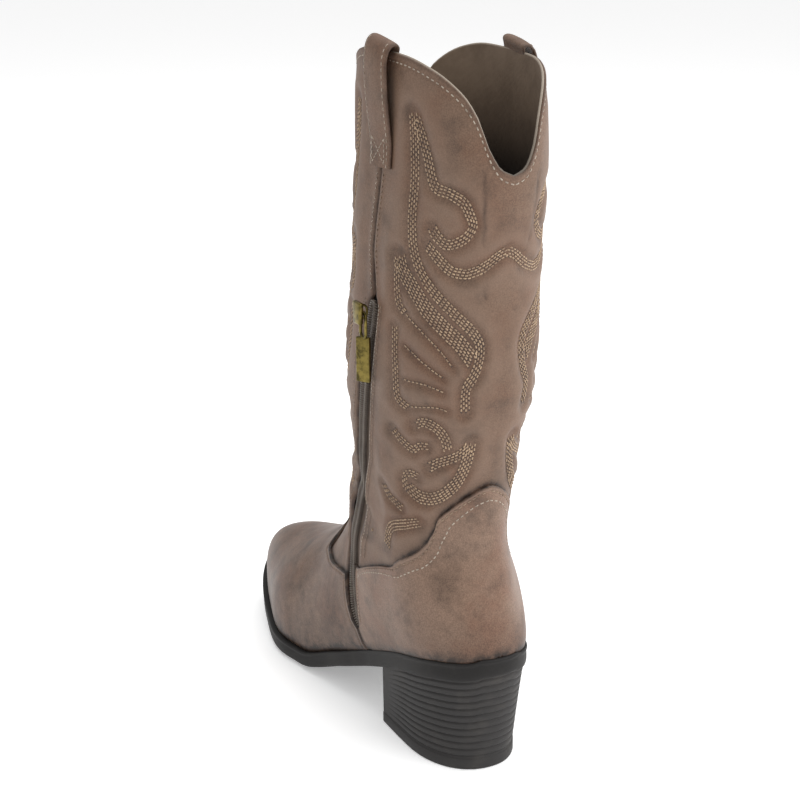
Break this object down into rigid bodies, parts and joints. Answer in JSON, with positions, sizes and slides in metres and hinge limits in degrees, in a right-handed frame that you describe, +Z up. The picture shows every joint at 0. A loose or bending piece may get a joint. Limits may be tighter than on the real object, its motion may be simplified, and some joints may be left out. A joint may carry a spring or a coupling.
{
  "type": "heeled ankle boot",
  "caption": "Western style boot with a block heel, scalloped collar, side zip with a hinged pull tab and loop pull straps.",
  "frame": {"origin": "on the floor under the middle of the boot's box", "axes": "+Y from the heel to the toe, +Z up from the floor, +X to the outside of the foot, with the zip on the -X side"},
  "size_m": [0.0928, 0.2652, 0.3602],
  "materials": {
    "upper_leather": "worn brown leather, softly waxed, with pale stitching",
    "overlay_leather": "brown leather, burnished darker near its edges",
    "strap_leather": "brown leather strap with stitched edges",
    "zip_fabric": "woven brown zip tape",
    "zip_plastic": "grey nylon coil",
    "zip_brass": "aged brass",
    "insole_lining": "olive brown lining leather",
    "sole_rubber": "charcoal brown rubber, satin edge",
    "heel_rubber": "charcoal brown moulded block with ribs like stacked layers"
  },
  "bodies": {
    "boot": {"upper": "upper_leather", "vamp": "overlay_leather", "heel_counter": "overlay_leather", "pull_strap_medial": "strap_leather", "pull_strap_lateral": "strap_leather", "zip_tape": "zip_fabric", "zip_coil": "zip_plastic", "zip_slider": "zip_brass", "insole": "insole_lining", "outsole": "sole_rubber", "heel": "heel_rubber", "top_lift": "heel_rubber"},
    "pull": {"zip_pull": "zip_brass"}
  },
  "joints": [
    {"name": "pull_hinge", "type": "hinge", "parent": "boot", "child": "pull", "pos_m": [-0.04363, -0.06956, 0.23103], "axis": [-0.0021, 1, 0], "range_deg": [0, 165]}
  ]
}
